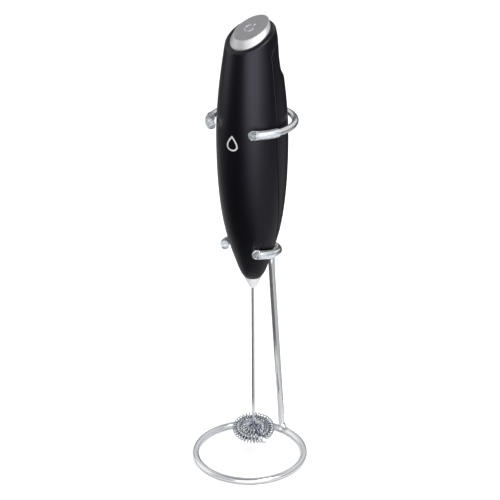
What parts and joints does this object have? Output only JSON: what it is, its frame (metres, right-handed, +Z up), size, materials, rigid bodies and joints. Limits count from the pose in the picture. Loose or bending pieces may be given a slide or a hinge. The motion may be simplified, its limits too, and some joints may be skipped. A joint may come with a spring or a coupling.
{
  "type": "milk frother",
  "caption": "Battery hand frother with a slim tapered handle, a sloped oval button and a coiled whisk, standing in a bent wire holder with a ring base and open clips.",
  "frame": {"origin": "centre of the base ring, on the table", "axes": "+Z up along the frother, -Y towards the front, where the clips' mouths open; the frother rests in them turned by 10 degrees, with its button's low side almost at the front"},
  "size_m": [0.06, 0.0604, 0.2371],
  "materials": {
    "chrome_wire": "polished",
    "clear_sleeve": "clear soft vinyl",
    "handle_black": "soft touch",
    "silver_trim": "satin silver plating",
    "brass": "bare",
    "spring_steel": "bright",
    "inner_black": "moulded",
    "cell": "printed wrap",
    "inner_white": "moulded",
    "magnet": "ferrite",
    "whisk_steel": "bright drawn wire"
  },
  "bodies": {
    "stand": {"stand_rod": "chrome_wire", "upper_clip": "chrome_wire", "lower_clip": "chrome_wire", "upper_sleeve_right": "clear_sleeve", "upper_sleeve_left": "clear_sleeve", "lower_sleeve_right": "clear_sleeve", "lower_sleeve_left": "clear_sleeve"},
    "frother": {"front_housing": "handle_black", "battery_cover": "handle_black", "nose_collar": "silver_trim", "nose_bush": "brass", "button_spring": "spring_steel", "battery_tray": "inner_black", "battery_left": "cell", "battery_right": "cell", "tray_screw_lower": "spring_steel", "tray_screw_upper": "spring_steel", "series_bridge": "brass", "positive_plate": "brass", "negative_spring": "spring_steel", "bridge_spring": "spring_steel", "switch_contact_left": "brass", "switch_contact_right": "brass", "switch_strip_left": "brass", "switch_strip_right": "brass", "motor_can": "spring_steel", "motor_end_cap": "inner_white", "magnet_left": "magnet", "magnet_right": "magnet", "motor_terminal_left": "brass", "motor_terminal_right": "brass"},
    "button": {"button_cap": "silver_trim", "button_plunger": "inner_white", "contact_disc": "brass"},
    "rotor": {"motor_shaft": "spring_steel", "armature": "spring_steel", "commutator": "brass", "shaft_coupler": "inner_white", "whisk_wire": "whisk_steel", "whisk_coil": "whisk_steel", "whisk_inner_coil": "whisk_steel"}
  },
  "joints": [
    {"name": "frother_lift", "type": "slide", "parent": "stand", "child": "frother", "axis": [0, 0, 1], "range_m": [0, 0.19]},
    {"name": "button_press", "type": "slide", "parent": "frother", "child": "button", "axis": [0, 0, -1], "range_m": [0, 0.0016], "stiffness_N_per_m": 500, "springref_m": -0.002, "deforming": ["button_spring"]},
    {"name": "whisk_spin", "type": "hinge", "parent": "frother", "child": "rotor", "pos_m": [0, 0.0032, 0.12], "axis": [0, 0, 1], "continuous": true}
  ]
}
